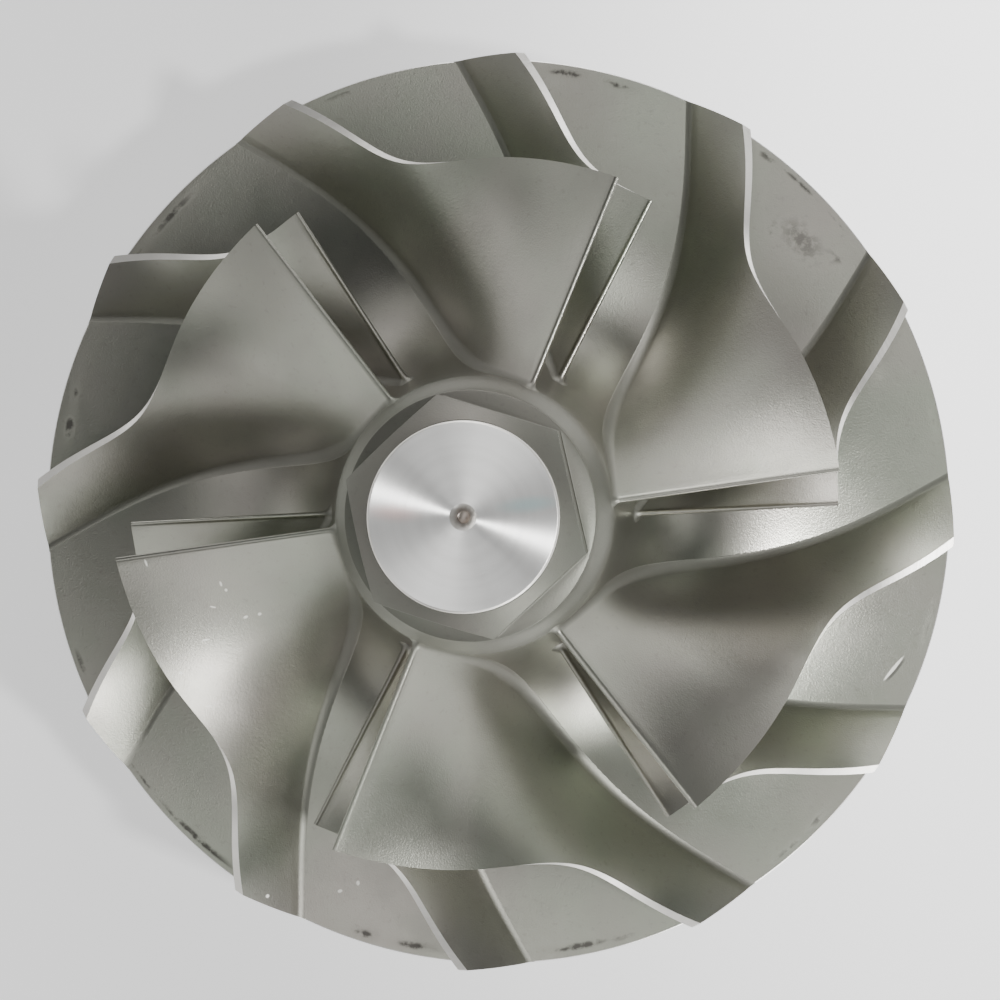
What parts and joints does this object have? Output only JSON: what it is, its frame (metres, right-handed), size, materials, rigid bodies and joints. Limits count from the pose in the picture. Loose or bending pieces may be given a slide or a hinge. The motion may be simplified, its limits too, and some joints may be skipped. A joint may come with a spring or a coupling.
{
  "type": "turbocharger compressor wheel",
  "caption": "Boreless radial compressor wheel with swept main and splitter blades, a hexagonal nose and a threaded blind bore behind; it draws air in along its axis and throws it outwards.",
  "frame": {"origin": "centre of the flat annular end of the rear boss, the face that seats on the shaft; it is also the bottom centre of the part's box", "axes": "+Z along the axis of rotation, towards the nose and the incoming air; +X and +Y lie in the plane of the boss end, with the tip of one main blade's trailing edge at 56.4 degrees from +X towards +Y"},
  "size_m": [0.102, 0.102, 0.0624],
  "materials": {
    "wheel": "satin as-cast aluminium, machined along the blade tips and on the nose face"
  },
  "bodies": {
    "root": {"compressor_wheel": "wheel"}
  },
  "joints": []
}
